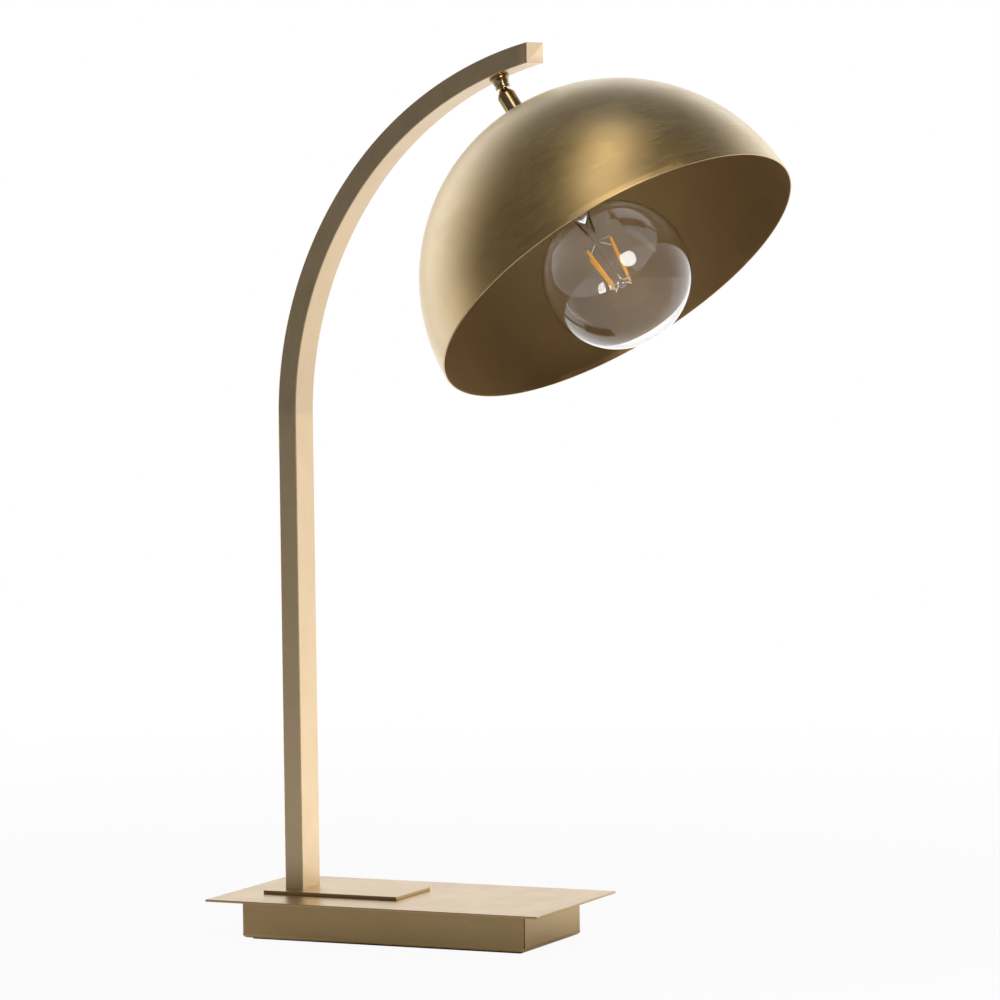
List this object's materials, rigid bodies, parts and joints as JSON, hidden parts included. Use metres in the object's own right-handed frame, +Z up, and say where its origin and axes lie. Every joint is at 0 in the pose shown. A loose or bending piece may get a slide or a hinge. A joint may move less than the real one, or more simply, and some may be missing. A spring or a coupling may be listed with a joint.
{
  "type": "dome shade desk lamp",
  "caption": "Desk lamp: hemispherical metal shade on a ball joint, hung from a bent rectangular tube arm on a flat rectangular base with an overhanging top plate; clear globe bulb.",
  "frame": {"origin": "middle of the underside of the base, on the surface it stands on", "axes": "+Z up; +X the way the arm bends and the shade leans; -Y the front; the arm lies in the XZ plane"},
  "size_m": [0.3794, 0.2485, 0.5764],
  "materials": {
    "satin_brass_plate": "satin brushed brass plating on steel",
    "turned_brass": "polished, lightly darkened",
    "shade_brass_plate": "spun sheet, satin brushed brass plating outside, darker inside",
    "zinc_steel": "zinc plated",
    "ballast_iron": "painted",
    "felt": "black felt",
    "grommet_rubber": "moulded",
    "clear_nylon": "moulded",
    "wire_sleeve": "sleeved wire pair",
    "spring_steel": "hardened",
    "porcelain": "glazed",
    "clear_glass": "clear",
    "bulb_metal": "bare, rolled",
    "black_glass": "glossy",
    "amber_phosphor": "amber coating"
  },
  "bodies": {
    "stand": {"base_pad": "felt", "base_box": "satin_brass_plate", "base_top_plate": "satin_brass_plate", "foot_plate": "satin_brass_plate", "ballast_weight": "ballast_iron", "plate_studs": "zinc_steel", "sleeve_nuts": "zinc_steel", "cord_grommet": "grommet_rubber", "terminal_block": "clear_nylon", "arm_tube": "satin_brass_plate", "arm_end_cap": "satin_brass_plate", "arm_foot_insert": "zinc_steel", "arm_screws": "zinc_steel", "arm_lead": "wire_sleeve", "swivel_cup": "turned_brass"},
    "swivel_stud": {"ball_stud": "turned_brass", "stud_nut": "zinc_steel", "swivel_lead": "wire_sleeve"},
    "joint_seat": {"ball_seat": "clear_nylon", "spring_washer": "spring_steel"},
    "shade": {"swivel_barrel": "turned_brass", "dome_shade": "shade_brass_plate", "threaded_nipple": "zinc_steel", "shade_washer": "zinc_steel", "shade_nut": "zinc_steel", "shade_lead": "wire_sleeve", "lampholder_cap": "turned_brass", "lampholder_body": "turned_brass", "lampholder_core": "porcelain", "lampholder_screw_shell": "bulb_metal", "centre_contact": "turned_brass", "bulb_globe": "clear_glass", "bulb_cap": "bulb_metal", "bulb_insulator": "black_glass", "bulb_tip": "bulb_metal", "bulb_stem": "clear_glass", "bulb_filaments": "amber_phosphor", "bulb_wires": "zinc_steel"}
  },
  "joints": [
    {"name": "shade_pan", "type": "hinge", "parent": "stand", "child": "swivel_stud", "pos_m": [0.07465, 0, 0.54344], "axis": [-0.3681, 0, 0.9298], "range_deg": [-90, 90]},
    {"name": "shade_tilt", "type": "hinge", "parent": "swivel_stud", "child": "joint_seat", "pos_m": [0.07465, 0, 0.54344], "axis": [-0.475, -0.8597, -0.1881], "range_deg": [-37.4, 20]},
    {"name": "shade_spin", "type": "hinge", "parent": "joint_seat", "child": "shade", "pos_m": [0.07465, 0, 0.54344], "axis": [0.5906, -0.153, -0.7923], "range_deg": [-170, 170]}
  ]
}
